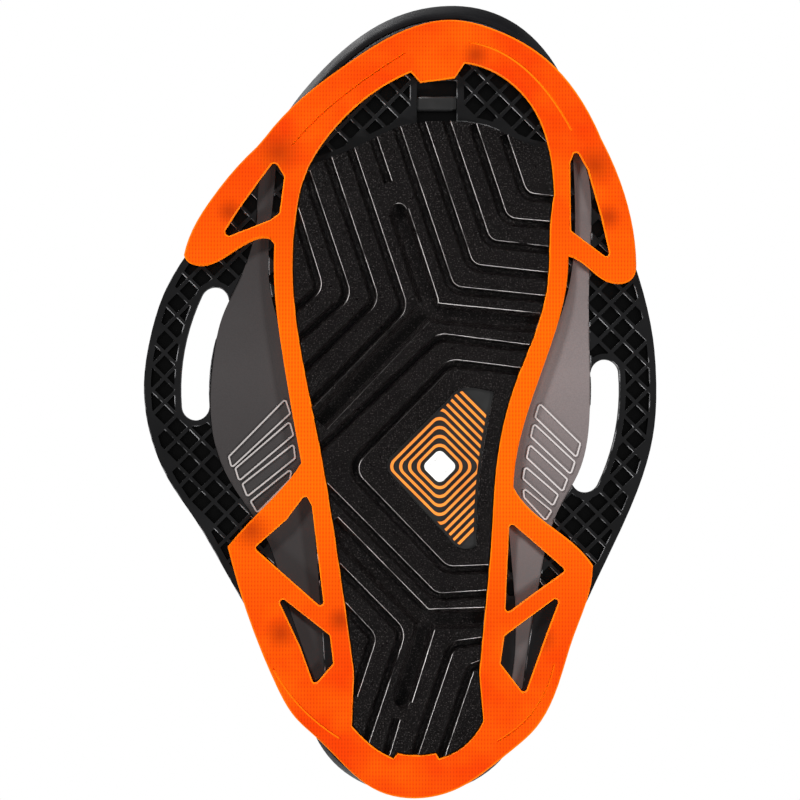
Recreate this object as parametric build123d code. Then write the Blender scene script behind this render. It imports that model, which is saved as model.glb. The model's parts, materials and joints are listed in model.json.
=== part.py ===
from build123d import *
import math
import os

# Wakeboard boot binding for a right foot, in millimetres.
# It is drawn with the toe toward +Y and the little-toe (lateral) side toward +X,
# and every node is turned half a turn about Z as it is written, so that the toe
# of the finished part points toward -Y.  Z is up.  The origin is on the board
# face, at the centre of the circle that the two mounting slots follow.

# ---- driving dimensions ----
BOLT_CIRCLE = 152.4
SLOT_WIDTH = 10.6
SLOT_MID_ANGLE = 10.5
SLOT_SWEEP = 30.0
SLOT_WALL = 2.2

GASKET_THICK = 3.0
GASKET_EDGE = 0.6
FRAME_BOTTOM = 3.2
FRAME_SKIN = 2.0
FRAME_TOP = 11.0
FRAME_RIM = 2.6
RIB_PITCH = 6.5
RIB_THICK = 1.3
PLATE_BOTTOM = 3.6
PLATE_THICK = 2.0
PLATE_LINE = 0.45
PLATE_LINE_WIDTH = 0.6
FIT = 0.2

SOLE_THICK = 8.0
GROOVE_WIDTH = 3.4
GROOVE_FLOOR = 1.3
GROOVE_DEPTH = 2.2
CHANNEL_WIDTH = 8.0
CHANNEL_DEPTH = 3.4
INLAY_DEPTH = 1.4
INLAY_LINE = 1.0

BAR_X = -13.6
BAR_Y = 106.3
BAR_Z = 5.6
BAR_LENGTH = 14.4
BAR_PIN_RADIUS = 1.1
SCREW_SPOTS = [(14, 62), (-38, 66), (8, 8), (-32, 12), (8, -96), (-20, -100)]
SCREW_RADIUS = 2.0
SCREW_HEAD = 3.8

INLAY_CENTRE = (-14.7, -28.3)
INLAY_FIRST_RING = 9.9
INLAY_RING_STEP = 3.3
INLAY_RINGS = 9

BOOT_FLOOR = 11.0
CENTRE_X = -6.0
SHELL_WALL = 3.0
LINER_WALL = 9.0
COLLAR = 214.0
COLLAR_SLOPE = 7.0
THROAT_HALF = 19.0
THROAT_LOW = 74.0
TONGUE_RISE = 1.0
FACING_THICK = 1.5
RAND_TOP = 23.0

LOOP_WIDE = 22.0
LOOP_DEEP = 12.0
LOOP_HIGH = 44.0
LOOP_Y = -160.4
LOOP_Z = 188.0
LOOP_LEAN = 6.3

STRAP_WIDTH = 34.0
PIN_RADIUS = 1.5
KNUCKLE_RADIUS = 3.0
EAR = 4.0
EAR_GAP = 0.5
ANCHOR_THICK = 1.8
CUFF_TILT = 8.0
CUFF_IN = 2.4
CUFF_OUT = 5.0
CUFF_PIN = (49.8, -77.0, 176.0)
CUFF_AXIS = (0.08, 0.0, 0.9968)
INSTEP_TILT = 40.0
INSTEP_IN = 2.9
INSTEP_OUT = 6.2
INSTEP_END = -36.0
INSTEP_PIN = (48.0, -26.0, 50.0)
INSTEP_AXIS = (-0.165, -0.634, 0.7555)


# ---- helpers ----
def stretch_curve(points):
    return Line(*points) if len(points) == 2 else Spline(*points)


def turns_left(stretches):
    """True if the loop runs anticlockwise."""
    points = [point for stretch in stretches for point in stretch[:-1]]
    following = points[1:] + points[:1]
    return sum(a[0] * b[1] - b[0] * a[1] for a, b in zip(points, following)) > 0


def inward(tangent, side):
    return Vector(-tangent.Y, tangent.X) * side


def moved_points(stretches, inset):
    """The loop's points, each moved inward by inset, square to the curve there."""
    side = 1 if turns_left(stretches) else -1
    curves = [stretch_curve(points) for points in stretches]
    moved = []
    for index, points in enumerate(stretches):
        curve = curves[index]
        before = curves[index - 1] % 1
        after = curves[(index + 1) % len(curves)] % 0
        row = []
        for point in points:
            normals = [inward(curve.tangent_at(Vector(*point)), side)] * 2
            if point == points[0]:
                normals[0] = inward(before, side)
            if point == points[-1]:
                normals[1] = inward(after, side)
            both = normals[0] + normals[1]
            row.append(Vector(*point) + both * (inset / (1 + normals[0].dot(normals[1]))))
        moved.append(row)
    return moved


def outline(stretches, inset=0.0):
    """Face inside a closed loop of stretches: two points make a line, more make a smooth curve."""
    rows = moved_points(stretches, inset) if inset else stretches
    return make_face([edge for points in rows for edge in stretch_curve(points).edges()])


def slab(face, low, high):
    """Solid over a flat outline, from height low to height high."""
    return extrude(Pos(0, 0, low) * face, high - low, dir=(0, 0, 1))


def corner_loop(points, radius):
    """Face inside a closed polygon whose corners are all rounded."""
    return make_face(FilletPolyline(*points, radius=radius, close=True).edges())


# ---- slots ----
def slot_face(side, width, extra=0.0):
    """Arc slot on the bolt circle; side is +1 lateral or -1 medial."""
    middle = SLOT_MID_ANGLE if side > 0 else 180 + SLOT_MID_ANGLE
    start = middle - SLOT_SWEEP / 2
    arc = CenterArc((0, 0), BOLT_CIRCLE / 2, start, SLOT_SWEEP)
    ends = [Pos(*(arc @ t)) * Circle(width / 2 + extra) for t in (0, 1)]
    band = Circle(BOLT_CIRCLE / 2 + width / 2 + extra) - Circle(BOLT_CIRCLE / 2 - width / 2 - extra)
    reach = BOLT_CIRCLE
    wedge = make_face(Polyline(
        (0, 0),
        (reach * math.cos(math.radians(start)), reach * math.sin(math.radians(start))),
        (reach * math.cos(math.radians(middle)) * 1.2, reach * math.sin(math.radians(middle)) * 1.2),
        (reach * math.cos(math.radians(start + SLOT_SWEEP)), reach * math.sin(math.radians(start + SLOT_SWEEP))),
        close=True).edges())
    return (band & wedge) + ends


# ---- base gasket ----
GASKET_OUTER = [
    [(80, 50), (76.5, 60), (70, 70.5), (60, 83), (53, 90)],
    [(53, 90), (50, 93.5)],
    [(50, 93.5), (37, 107.5), (20, 120.5), (0, 132.5), (-18, 137), (-35, 133.5), (-55, 121.8),
     (-70, 102.5), (-74.5, 93)],
    [(-74.5, 93), (-75.2, 91.7)],
    [(-75.2, 91.7), (-82, 76), (-86.8, 56), (-87.5, 46)],
    [(-87.5, 46), (-84, 39.8), (-77, 40), (-70, 45), (-62.3, 49.5)],
    [(-62.3, 49.5), (-61, 35), (-57, 20), (-50, 0), (-44.5, -18), (-42, -36)],
    [(-42, -36), (-48, -44), (-60, -53.5), (-67, -59.5), (-71.4, -65)],
    [(-71.4, -65), (-70, -75), (-64, -92), (-57, -113.5), (-50, -125.5), (-40, -134.5),
     (-20.5, -148), (-5, -151.2), (8, -148.5), (30, -129.5), (39, -121), (46, -109), (60, -72),
     (63.8, -58)],
    [(63.8, -58), (60, -53.5), (50, -43), (40, -32), (36.5, -27)],
    [(36.5, -27), (40, -8), (43, 10), (45.8, 30), (46.5, 54)],
    [(46.5, 54), (48, 55.8)],
    [(48, 55.8), (65, 49), (75, 46), (78.5, 47.5), (80, 50)]]


SOLE_OPENING = [
    [(-4, 117.7), (10, 110), (25, 96), (34, 82), (39, 60), (39.3, 35), (35.5, 8), (29.5, -22),
     (24, -55), (20.3, -80), (17, -104)],
    [(17, -104), (17.7, -124.5)],
    [(17.7, -124.5), (15, -127.5), (10, -132), (2.5, -136.3)],
    [(2.5, -136.3), (1, -134.3)],
    [(1, -134.3), (-6, -135.2), (-13.2, -134.3)],
    [(-13.2, -134.3), (-14.5, -136.5)],
    [(-14.5, -136.5), (-25, -130.5), (-30.8, -122.5)],
    [(-30.8, -122.5), (-29.3, -105)],
    [(-29.3, -105), (-31, -87), (-33.7, -57), (-35.8, -27), (-42.5, 2), (-50, 21), (-54.7, 40),
     (-55.5, 60), (-57, 72)],
    [(-57, 72), (-55.5, 87), (-50, 103), (-40, 114.3), (-24, 121)],
    [(-24, 121), (-20.3, 115.5)],
    [(-20.3, 115.5), (-14, 114.6), (-7.5, 113.8)],
    [(-7.5, 113.8), (-4, 117.7)]]


def gasket_windows():
    """The six truss openings of the gasket, as rounded faces."""
    front_lateral = corner_loop(
        [(46.5, 85), (42.8, 79), (44.6, 65.5), (48, 63), (67, 55.5), (60, 66.5), (51, 79)], 1.5)
    front_medial = corner_loop(
        [(-65, 89.5), (-63, 84), (-63.3, 59), (-78.2, 47.8), (-74.5, 64), (-69.5, 81.5)], 1.2)
    rear_lateral_upper = corner_loop(
        [(35, -38.5), (32.6, -43), (28, -81.5), (54, -58.5), (42, -48)], 1.2)
    rear_lateral_lower = corner_loop(
        [(46.5, -74.7), (26, -90.8), (24.7, -101.3), (31.8, -109.5), (37, -95)], 1.2)
    rear_medial_upper = corner_loop(
        [(-40.5, -48.5), (-61.5, -66.8), (-50, -75), (-38.9, -83.2)], 1.2)
    rear_medial_lower = corner_loop(
        [(-60, -75.2), (-38.7, -91), (-37.2, -101.3), (-46.2, -113), (-54, -91)], 1.2)
    return [front_lateral, front_medial, rear_lateral_upper, rear_lateral_lower, rear_medial_upper,
            rear_medial_lower]


GASKET_ARCS = [
    [(40, 90.5), (28, 103), (10, 117), (-2, 124.8)],
    [(-25.5, 128.8), (-40, 123.5), (-55, 109.5), (-63.5, 96)],
    [(47, -103), (36, -118), (22, -129)],
    [(-36, -130), (-50, -118), (-57, -101)]]


def incised(points, width, depth):
    """Shallow cut along a smooth curve on the board face."""
    path = Spline(*points)
    heading = path % 0
    start = Plane(path @ 0, x_dir=(-heading.Y, heading.X, 0), z_dir=heading)
    return sweep(start * Rectangle(width, 2 * depth), path=path)


def base_gasket():
    face = outline(GASKET_OUTER) - outline(SOLE_OPENING)
    for window in gasket_windows():
        face -= window
    body = slab(face, GASKET_EDGE, GASKET_THICK)
    lower = outline(GASKET_OUTER, GASKET_EDGE) - outline(SOLE_OPENING)
    for window in gasket_windows():
        lower -= window
    body += slab(lower, 0, GASKET_EDGE)
    bottom = body.faces().sort_by(Axis.Z)[0]
    inner_edges = [edge for wire in bottom.inner_wires() for edge in wire.edges()]
    body = chamfer(inner_edges, GASKET_EDGE * 0.9)
    for points in GASKET_ARCS:
        body -= incised(points, 0.8, 0.45)
    return body


# ---- frame ----
WINGS = [
    [(74, 57), (80, 49), (87, 37), (92.5, 20), (95, 0), (92.5, -17), (86, -33), (76, -48), (66, -65),
     (58, -79)],
    [(58, -79), (-69, -79)],
    [(-69, -79), (-77, -62), (-87, -40), (-94, -16), (-95, 5), (-94, 18), (-90, 37), (-84, 54), (-80, 62)],
    [(-80, 62), (74, 57)]]


TOE_REGION = [
    [(76, 49), (70, 64), (56, 82)],
    [(56, 82), (40, 101), (20, 117), (0, 128.5), (-18, 133), (-35, 129.5), (-52, 119), (-66, 102),
     (-76, 80), (-82, 60), (-83, 45)],
    [(-83, 45), (76, 49)]]


def rib_grid():
    """Two families of ribs at 45 degrees, over the whole footprint."""
    reach = 340
    count = int(170 / RIB_PITCH)
    strips = []
    for step in range(-count, count + 1):
        strip = Pos(0, step * RIB_PITCH) * Rectangle(reach, RIB_THICK)
        strips.append(Rot(0, 0, 45) * strip)
        strips.append(Rot(0, 0, -45) * strip)
    return strips


def toe_bridge_block():
    return Pos(-13.7, 106.5) * Rectangle(20, 19)


def lattice_pockets():
    """Square pockets between the ribs, kept off the rim, slots, side plates, outsole and toe bridge."""
    region = outline(WINGS, FRAME_RIM) + outline(TOE_REGION)
    region -= outsole_face(-SLOT_WALL)
    region -= outline(LATERAL_PLATE)
    region -= outline(MEDIAL_PLATE)
    region -= toe_bridge_block()
    for side in (1, -1):
        region -= slot_face(side, SLOT_WIDTH, SLOT_WALL)
    for strip in rib_grid():
        region -= strip
    cells = [cell for cell in region.faces() if cell.area > RIB_PITCH]
    return Compound([slab(cell, FRAME_BOTTOM - 1, FRAME_TOP - FRAME_SKIN) for cell in cells])


def chassis_frame():
    body = slab(outline(WINGS), FRAME_BOTTOM, FRAME_TOP)
    body += slab(outline(GASKET_OUTER, 1.0), FRAME_BOTTOM, FRAME_TOP)
    body -= slab(outsole_face(-FIT), FRAME_BOTTOM - 1, SOLE_THICK + FIT)
    plate_top = PLATE_BOTTOM + PLATE_THICK + 0.1
    for plate in (LATERAL_PLATE, MEDIAL_PLATE):
        body -= slab(outline(plate, -FIT), FRAME_BOTTOM - 1, plate_top)
    for side in (1, -1):
        body -= slab(slot_face(side, SLOT_WIDTH), 0, FRAME_TOP + 1)
    body -= slab(Pos(-13.6, 106.5) * Rectangle(14.8, 16.4), FRAME_BOTTOM - 1, FRAME_TOP - FRAME_SKIN)
    body -= Pos(BAR_X, BAR_Y, BAR_Z) * Rot(0, 90, 0) * Cylinder(BAR_PIN_RADIUS + 0.1, BAR_LENGTH + 3.2)
    for x, y in SCREW_SPOTS:
        body -= Pos(x, y, FRAME_TOP) * Cylinder(SCREW_RADIUS + 0.1, 12)
    return body - lattice_pockets()


# ---- side plates ----
LATERAL_PLATE = [
    [(46, 84), (49.6, 82), (53, 66), (55.3, 52), (60, 40), (66, 27), (69.2, 12), (70.4, -2), (69.6, -15),
     (65, -30), (57, -43), (48.8, -56.5), (43, -75), (38, -90), (32, -108)],
    [(32, -108), (28, -106)],
    [(28, -106), (31, -60), (35, -25), (41, 5), (45, 24), (48.3, 38), (48.6, 54), (46, 84)]]


MEDIAL_PLATE = [
    [(-64, 92), (-69.6, 80), (-71, 64), (-70, 35), (-70.3, 15), (-70.4, -8), (-66.5, -30),
     (-58, -46), (-52.2, -68), (-47.5, -95), (-45.3, -111)],
    [(-45.3, -111), (-41, -109)],
    [(-41, -109), (-42, -70), (-40, -36), (-44, -10), (-53, 12), (-61.4, 33), (-64, 46), (-65, 64), (-64, 92)]]


def plate_window(points, line_width):
    """Thin closed line along a rounded parallelogram."""
    face = corner_loop(points, 1.0)
    return face - offset(face, -line_width)


LATERAL_WINDOWS = [
    [(42.4, -2.8), (40.4, -8.8), (62.6, -29.4), (63.8, -24.6)],
    [(40.8, -11.2), (39.2, -16.8), (59.8, -34.2), (61.4, -29.0)],
    [(39.2, -19.4), (38.6, -25.4), (56.8, -40.0), (58.8, -34.8)],
    [(39.6, -28.2), (40.6, -33.4), (53.0, -46.0), (55.8, -41.2)]]

MEDIAL_WINDOWS = [
    [(-51.6, -4.4), (-49.8, -10.2), (-65.6, -25.6), (-67.2, -19.8)],
    [(-49.4, -11.8), (-48.2, -17.4), (-63.4, -31.8), (-65.2, -26.6)],
    [(-47.8, -19.6), (-46.7, -25.2), (-60.4, -38.2), (-62.4, -33.0)],
    [(-46.2, -27.8), (-45.3, -33.0), (-56.8, -43.4), (-59.0, -38.8)],
    [(-45.2, -35.4), (-45.8, -40.0), (-54.0, -48.8), (-56.6, -44.8)]]


def side_plate(face, windows):
    body = slab(face, PLATE_BOTTOM, PLATE_BOTTOM + PLATE_THICK)
    for points in windows:
        body += slab(plate_window(points, PLATE_LINE_WIDTH), PLATE_BOTTOM - PLATE_LINE, PLATE_BOTTOM)
    return body


# ---- outsole ----
GROOVES = [
    (6, [(-38.8, 92.5), (-45.9, 71.6), (-57, 70.3)]),
    (6, [(-27.4, 96.5), (-38.8, 62.4), (-56, 60.8)]),
    (6, [(-17.6, 98), (-32.3, 54.2), (-55.3, 51.6)]),
    (6, [(-8.4, 97.5), (-26, 45.2), (-55, 42)]),
    (6, [(0.9, 96), (-18.9, 37), (-54, 33.4)]),
    (6, [(18.1, 88.5), (-1.4, 30.4), (33, -5)]),
    (6, [(26.2, 84), (9.2, 33.2), (36.5, 6.5)]),
    (6, [(34.2, 79), (19.4, 34.8), (39.5, 17)]),
    (5, [(38.4, 65), (30, 38), (39.5, 29)]),
    (6, [(30, -22), (-14.5, 19.5), (-48, 15.2)]),
    (7, [(-45.5, 6.6), (-18.5, 10), (19.5, -29), (-17, -66.8), (-32.5, -66.2)]),
    (7, [(27.5, -36), (-13, -76.8), (-32, -75.6)]),
    (6, [(23, -65.5), (-0.6, -89.5), (12.9, -130)]),
    (4, [(20.5, -80.5), (10.2, -91.5), (16.6, -111)]),
    (5, [(-30.5, -93), (-18.8, -94.6), (-4.8, -136)]),
    (2, [(-31.5, -101), (-26, -103), (-15.2, -135)])]

SHORT_GROOVES = [
    [(10.2, 94), (4.4, 76.8)],
    [(1.4, -121.5), (6.0, -137)]]

CHANNELS = [
    (5, [(0.5, 66), (-11, 31), (30, -12)]),
    (4, [(-9.5, 30), (-14, 28.3), (-55, 24.3)]),
    (4, [(25.8, -49.6), (-9, -85), (-33, -84.2)]),
    (0, [(-10, -85), (-0.8, -114.5)])]


BELOW_TOE_LINE = [
    [(45, 78), (31, 84), (15, 90.5), (0, 97.5), (-17, 99.5), (-33, 97.5), (-45, 92), (-60, 90)],
    [(-60, 90), (-60, -150)],
    [(-60, -150), (45, -150)],
    [(45, -150), (45, 78)]]


def outsole_face(inset=0.0):
    return outline(SOLE_OPENING, inset + 2 * FIT) & outline(BELOW_TOE_LINE, inset)


def lengthened(points, extra):
    """The same corner points with both ends moved outward."""
    first, second = Vector(*points[0]), Vector(*points[1])
    before, last = Vector(*points[-2]), Vector(*points[-1])
    start = first + (first - second).normalized() * extra
    end = last + (last - before).normalized() * extra
    return [start, *[Vector(*point) for point in points[1:-1]], end]


def groove(points, radius, width, floor, depth):
    """Tapered channel cut up from the sole's face along rounded corner points."""
    path = FilletPolyline(*points, radius=radius) if len(points) > 2 else Line(*points)
    heading = path % 0
    start = Plane(path @ 0, x_dir=(-heading.Y, heading.X, 0), z_dir=heading)
    section = start * make_face(Polyline(
        (-width / 2, -0.5), (width / 2, -0.5), (width / 2, 0), (floor / 2, depth), (-floor / 2, depth),
        (-width / 2, 0), close=True).edges())
    return sweep(section, path=path)


def outsole():
    body = slab(outsole_face(), 0, SOLE_THICK)
    for radius, points in GROOVES:
        body -= groove(lengthened(points, 2), radius, GROOVE_WIDTH, GROOVE_FLOOR, GROOVE_DEPTH)
    for points in SHORT_GROOVES:
        body -= groove(points, 0, GROOVE_WIDTH, GROOVE_FLOOR, GROOVE_DEPTH)
    for radius, points in CHANNELS:
        body -= groove(points, radius, CHANNEL_WIDTH, CHANNEL_WIDTH * 0.5, CHANNEL_DEPTH)
    body -= Pos(-0.8, -114.5, 0) * Cone(CHANNEL_WIDTH / 2, CHANNEL_WIDTH * 0.3, 2 * CHANNEL_DEPTH)
    body -= Pos(0.5, 66, 0) * Cone(CHANNEL_WIDTH / 2, CHANNEL_WIDTH * 0.3, 2 * CHANNEL_DEPTH)
    return body - slab(outline(INLAY), -1, INLAY_DEPTH)


# ---- sole inlay ----
INLAY = [
    [(-35, -0.5), (-30, 0.5), (-24, 1), (-21, 0), (-18, -3)],
    [(-18, -3), (4, -25)],
    [(4, -25), (5, -28), (3, -32)],
    [(3, -32), (-18, -55)],
    [(-18, -55), (-22, -58.5), (-26, -59), (-28.5, -57.5)],
    [(-28.5, -57.5), (-28.5, -50), (-30, -28), (-33, -10), (-35, -0.5)]]


def sole_inlay():
    return slab(outline(INLAY, FIT), INLAY_DEPTH - 0.6, INLAY_DEPTH)


def diamond(half_diagonal, radius):
    side = half_diagonal * math.sqrt(2)
    return Pos(*INLAY_CENTRE) * Rot(0, 0, 45) * RectangleRounded(side, side, radius)


def inlay_lines():
    """Concentric rounded diamonds, cut off by the inlay's own edge."""
    inside = outline(INLAY, 1.2)
    lines = []
    for step in range(INLAY_RINGS):
        reach = INLAY_FIRST_RING + step * INLAY_RING_STEP
        ring = diamond(reach, 3.6) - diamond(reach - INLAY_LINE * 1.4, 3.0)
        lines += (ring & inside).faces()
    return Compound([slab(line, INLAY_DEPTH - 1.1, INLAY_DEPTH - 0.6) for line in lines])


def inlay_badge():
    badge = slab(diamond(6.6, 2.2), INLAY_DEPTH - 1.1, INLAY_DEPTH - 0.6)
    return badge - slab(diamond(4.6, 1.4) - diamond(3.7, 1.0), INLAY_DEPTH - 1.2, INLAY_DEPTH - 0.9)


# ---- toe bridge ----
def toe_bridge_bar():
    bar = Pos(BAR_X, BAR_Y, BAR_Z) * Box(BAR_LENGTH, 5.6, 3.2)
    bar = fillet(bar.edges().filter_by(Axis.X), 1.0)
    return bar + Pos(BAR_X, BAR_Y, BAR_Z) * Rot(0, 90, 0) * Cylinder(BAR_PIN_RADIUS, BAR_LENGTH + 2.6)


# ---- boot body: smooth sections from the sole up to the collar ----
FOOTPRINT = [
    (-20, 142.5), (8, 135), (31, 115.5), (46, 94), (53.5, 66), (53, 35), (46, 0), (40, -50), (37, -105),
    (24, -138), (-6.5, -150), (-36, -138), (-48.5, -110), (-49.5, -55), (-55, 0), (-65, 45), (-68, 80),
    (-61, 113), (-44.5, 134.5)]
FOOT_HEEL = -150.0
FOOT_LENGTH = 292.5
HEEL_POINT = 10

# height, front, back, half width of the round part, width scale of the footprint, roundness
LEVELS = [
    (11, 138, -147, 50, 0.97, 0.00),
    (24, 142.5, -150, 50, 1.00, 0.00),
    (40, 141, -150, 50, 0.99, 0.00),
    (55, 131, -148.5, 49, 0.94, 0.03),
    (69, 111, -147, 48, 0.89, 0.10),
    (84, 84, -146, 47.5, 0.84, 0.30),
    (102, 52, -146, 47, 0.84, 0.60),
    (125, 24, -147, 47, 0.88, 0.85),
    (155, 5, -150, 48, 0.92, 1.00),
    (190, -5, -154, 51, 0.95, 1.00),
    (236, -12, -159, 55, 1.00, 1.00)]


def boot_section(level, grow):
    """Closed section of the boot at one level, moved outward by grow."""
    z, front, back, half_width, scale, roundness = level
    centre_y = (front + back) / 2
    half_length = (front - back) / 2
    points = []
    for index, (x, y) in enumerate(FOOTPRINT):
        if index <= HEEL_POINT:
            angle = 90 - 180 * index / HEEL_POINT
        else:
            angle = -90 - 180 * (index - HEEL_POINT) / (len(FOOTPRINT) - HEEL_POINT)
        round_x = CENTRE_X + half_width * math.cos(math.radians(angle))
        round_y = centre_y + half_length * math.sin(math.radians(angle))
        foot_x = CENTRE_X + (x - CENTRE_X) * scale
        foot_y = back + (y - FOOT_HEEL) * (front - back) / FOOT_LENGTH
        x = foot_x * (1 - roundness) + round_x * roundness
        y = foot_y * (1 - roundness) + round_y * roundness
        away = Vector((x - CENTRE_X) / half_width, (y - centre_y) / half_length).normalized()
        points.append((x + away.X * grow, y + away.Y * grow, z))
    return make_face(Spline(*points, periodic=True).edges())


def core(grow):
    """Solid of the whole boot body, moved outward by grow at the sides."""
    return loft([boot_section(level, grow) for level in LEVELS])


def layer(outer, inner):
    """Hollow layer between two offsets of the boot body, open at both ends."""
    return core(outer) - core(inner)


def between(low, high):
    return Pos(0, 0, (low + high) / 2) * Box(600, 600, high - low)


def throat(half_width, low):
    """Upright U-shaped prism in front of the shaft, for the tongue opening."""
    face = make_face(Polyline(
        (-half_width * 0.55, low), (half_width * 0.55, low), (half_width * 0.9, low + 16),
        (half_width + 7, 260), (-half_width - 7, 260), (-half_width * 0.9, low + 16), close=True).edges())
    prism = extrude(Plane.XZ * face, -220)
    return Pos(CENTRE_X - 2, -70, 0) * prism


def collar_cut():
    """Everything above the slanted collar line."""
    return Pos(0, -80, COLLAR + 60) * Rot(COLLAR_SLOPE, 0, 0) * Box(400, 400, 120)


def boot_shell():
    body = core(0) - (core(-SHELL_WALL) & between(BOOT_FLOOR + 3, 400))
    body = body - throat(THROAT_HALF, THROAT_LOW) - collar_cut()
    for x, y in SCREW_SPOTS:
        body -= Pos(x, y, BOOT_FLOOR) * Cylinder(SCREW_RADIUS + 0.1, 12)
    return body


def lasting_board():
    body = core(-SHELL_WALL - 0.4) & between(BOOT_FLOOR + 3.1, BOOT_FLOOR + 5.1)
    for x, y in SCREW_SPOTS:
        body -= Pos(x, y, BOOT_FLOOR + 4) * Cylinder(SCREW_RADIUS + 0.1, 12)
        body -= Pos(x, y, BOOT_FLOOR + 4.1) * Cone(SCREW_RADIUS + 0.1, SCREW_HEAD + 0.2, 2.02)
    return body


def boot_screws():
    screws = []
    for x, y in SCREW_SPOTS:
        shank = Pos(x, y, (BOOT_FLOOR + 3.1 + 8.6) / 2) * Cylinder(SCREW_RADIUS, BOOT_FLOOR + 3.1 - 8.6)
        head = Pos(x, y, BOOT_FLOOR + 4.05) * Cone(SCREW_RADIUS, SCREW_HEAD, 1.9)
        screws.append(shank + head)
    return Compound(screws)


def liner():
    outer = core(-SHELL_WALL - 0.4) & between(BOOT_FLOOR + 5.3, 400)
    body = outer - (core(-SHELL_WALL - LINER_WALL) & between(BOOT_FLOOR + 8.3, 400))
    return body - (Pos(0, 0, 8) * collar_cut())


def footbed():
    return core(-SHELL_WALL - LINER_WALL - 0.5) & between(BOOT_FLOOR + 8.5, BOOT_FLOOR + 12.5)


def tongue():
    body = layer(TONGUE_RISE, -SHELL_WALL + 0.2) & throat(THROAT_HALF - 0.5, THROAT_LOW + 0.5)
    return body - (Pos(0, 0, 10) * collar_cut())


def throat_facing():
    ring = throat(THROAT_HALF + 13, THROAT_LOW - 13) - throat(THROAT_HALF, THROAT_LOW)
    return (layer(FACING_THICK, 0.02) & ring) - collar_cut()


def rand():
    return layer(2.2, 0.02) & between(BOOT_FLOOR, RAND_TOP)


def toe_bumper():
    ahead = Pos(0, 300, 0) * Box(400, 400, 400)
    return layer(1.8, 0.02) & between(RAND_TOP + 0.1, 50) & ahead


def heel_counter():
    behind = Pos(0, -300, 0) * Box(400, 400, 400)
    return layer(1.8, 0.02) & between(RAND_TOP + 0.1, 84) & behind


def pull_loop():
    """Webbing loop behind the collar."""
    ring = RectangleRounded(LOOP_DEEP, LOOP_HIGH, 5.9) - RectangleRounded(LOOP_DEEP - 5, LOOP_HIGH - 5, 3.4)
    loop = extrude(Plane.YZ * ring, LOOP_WIDE / 2, both=True)
    return Pos(CENTRE_X, LOOP_Y, LOOP_Z) * Rot(LOOP_LEAN, 0, 0) * loop


# ---- straps: each is a band over the front of the boot, hinged on a pin at its lateral end ----
def cuff_plane():
    return Pos(0, CUFF_PIN[1], CUFF_PIN[2]) * Rot(CUFF_TILT, 0, 0)


def instep_plane():
    return Pos(0, INSTEP_PIN[1], INSTEP_PIN[2]) * Rot(INSTEP_TILT, 0, 0)


def sector(start, end):
    """Upright wedge around the shaft, between two bearings measured from the lateral side."""
    reach = 260
    points = [(0, 0)]
    for step in range(5):
        bearing = math.radians(start + (end - start) * step / 4)
        points.append((reach * math.cos(bearing), reach * math.sin(bearing)))
    face = make_face(Polyline(*points, close=True).edges())
    return Pos(CENTRE_X, CUFF_PIN[1], 0) * slab(face, 0, 300)


def pin_frame(pin, axis):
    return Plane(pin, z_dir=axis, x_dir=(1, 0, 0)).location


def strap_pin(pin, axis):
    return pin_frame(pin, axis) * Cylinder(PIN_RADIUS, STRAP_WIDTH + 2 * EAR + 2 * EAR_GAP)


def knuckle(pin, axis):
    return pin_frame(pin, axis) * Cylinder(KNUCKLE_RADIUS, STRAP_WIDTH)


def pin_bore(pin, axis, clearance):
    return pin_frame(pin, axis) * Cylinder(PIN_RADIUS + clearance, 3 * STRAP_WIDTH)


def ears(pin, axis, depth):
    """Two blocks that hold the ends of a strap's pin."""
    blocks = []
    for side in (1, -1):
        along = side * (STRAP_WIDTH / 2 + EAR_GAP + EAR / 2)
        block = Pos((KNUCKLE_RADIUS - depth) / 2, 0, along) * Box(depth + KNUCKLE_RADIUS, 7.0, EAR)
        blocks.append(pin_frame(pin, axis) * block)
    return blocks


def cuff_strap():
    band = layer(CUFF_OUT, CUFF_IN) & (cuff_plane() * Box(400, 400, STRAP_WIDTH - 2)) & sector(0, 128)
    body = band + knuckle(CUFF_PIN, CUFF_AXIS)
    return body - pin_bore(CUFF_PIN, CUFF_AXIS, 0.2)


def cuff_strap_anchor():
    plate = layer(ANCHOR_THICK, 0.02) & (cuff_plane() * Box(400, 400, STRAP_WIDTH + 12)) & sector(-24, 4)
    body = plate + [ear - core(0.05) for ear in ears(CUFF_PIN, CUFF_AXIS, 7)]
    return body - pin_bore(CUFF_PIN, CUFF_AXIS, 0.0)


def cuff_strap_landing():
    pad = layer(ANCHOR_THICK, 0.02) & (cuff_plane() * Box(400, 400, STRAP_WIDTH)) & sector(112, 184)
    return pad - throat(THROAT_HALF + 13.4, THROAT_LOW - 14)


def instep_strap():
    keep = Pos(INSTEP_PIN[0] - 0.2 - 100, 0, 100 + INSTEP_PIN[2] - 12) * Box(200, 400, 200)
    keep &= Pos(100 + INSTEP_END, 0, 100) * Box(200, 400, 400)
    keep &= instep_plane() * Pos(0, 150, 0) * Box(400, 300, STRAP_WIDTH - 2)
    body = (layer(INSTEP_OUT, INSTEP_IN) & keep) + knuckle(INSTEP_PIN, INSTEP_AXIS)
    return body - pin_bore(INSTEP_PIN, INSTEP_AXIS, 0.2)


def instep_strap_anchor():
    keep = instep_plane() * Pos(100, -8, 0) * Box(200, 24, STRAP_WIDTH + 12)
    plate = layer(ANCHOR_THICK, 0.02) & keep & between(RAND_TOP + 0.3, 120)
    body = plate + [ear - core(0.05) for ear in ears(INSTEP_PIN, INSTEP_AXIS, 7)]
    return body - pin_bore(INSTEP_PIN, INSTEP_AXIS, 0.0)


def instep_strap_landing():
    keep = instep_plane() * Pos(-100 + INSTEP_END + 8, 100, 0) * Box(200, 240, STRAP_WIDTH)
    pad = layer(ANCHOR_THICK, 0.02) & keep & between(RAND_TOP + 20, 200)
    return pad - throat(THROAT_HALF + 13.4, THROAT_LOW - 14)


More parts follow.
